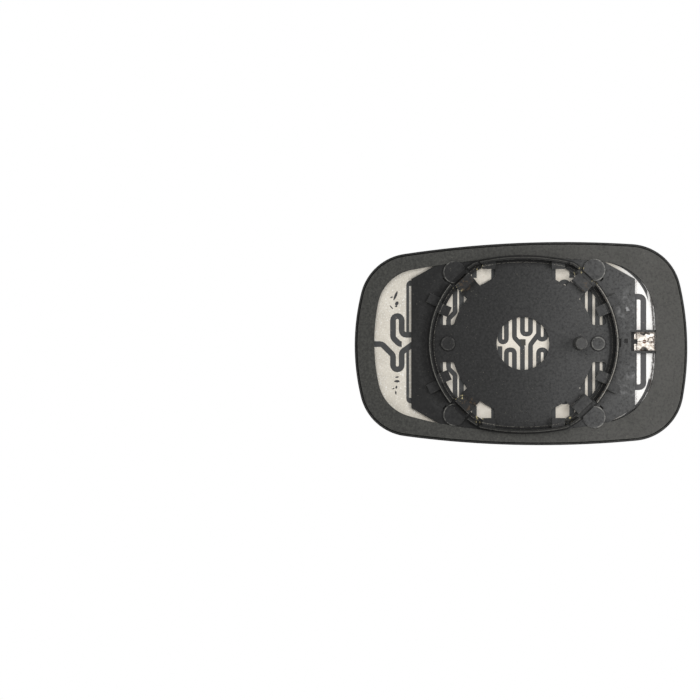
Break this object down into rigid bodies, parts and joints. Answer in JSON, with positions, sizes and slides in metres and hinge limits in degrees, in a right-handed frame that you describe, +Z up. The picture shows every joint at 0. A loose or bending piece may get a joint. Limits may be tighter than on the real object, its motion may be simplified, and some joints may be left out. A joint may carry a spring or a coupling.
{
  "type": "heated door mirror glass",
  "caption": "Convex blue-tinted car door mirror glass on a moulded clip-on carrier, with a heater film and terminals behind it.",
  "frame": {"origin": "centre of the snap ring, on the rear face of the carrier plate", "axes": "+Z up as fitted on the door, -Y out of the glass, +Y out of the back, +X towards the narrow end"},
  "size_m": [0.1679, 0.0162, 0.1027],
  "materials": {
    "glass": "blue-tinted reflecting glass",
    "film": "cream film",
    "track": "printed dark grey conductor",
    "carrier": "black moulding, slightly worn",
    "terminal": "tinned"
  },
  "bodies": {
    "root": {"mirror_glass": "glass", "heater_film": "film", "heater_track": "track", "carrier_plate": "carrier", "terminal_upper": "terminal", "terminal_lower": "terminal"}
  },
  "joints": []
}
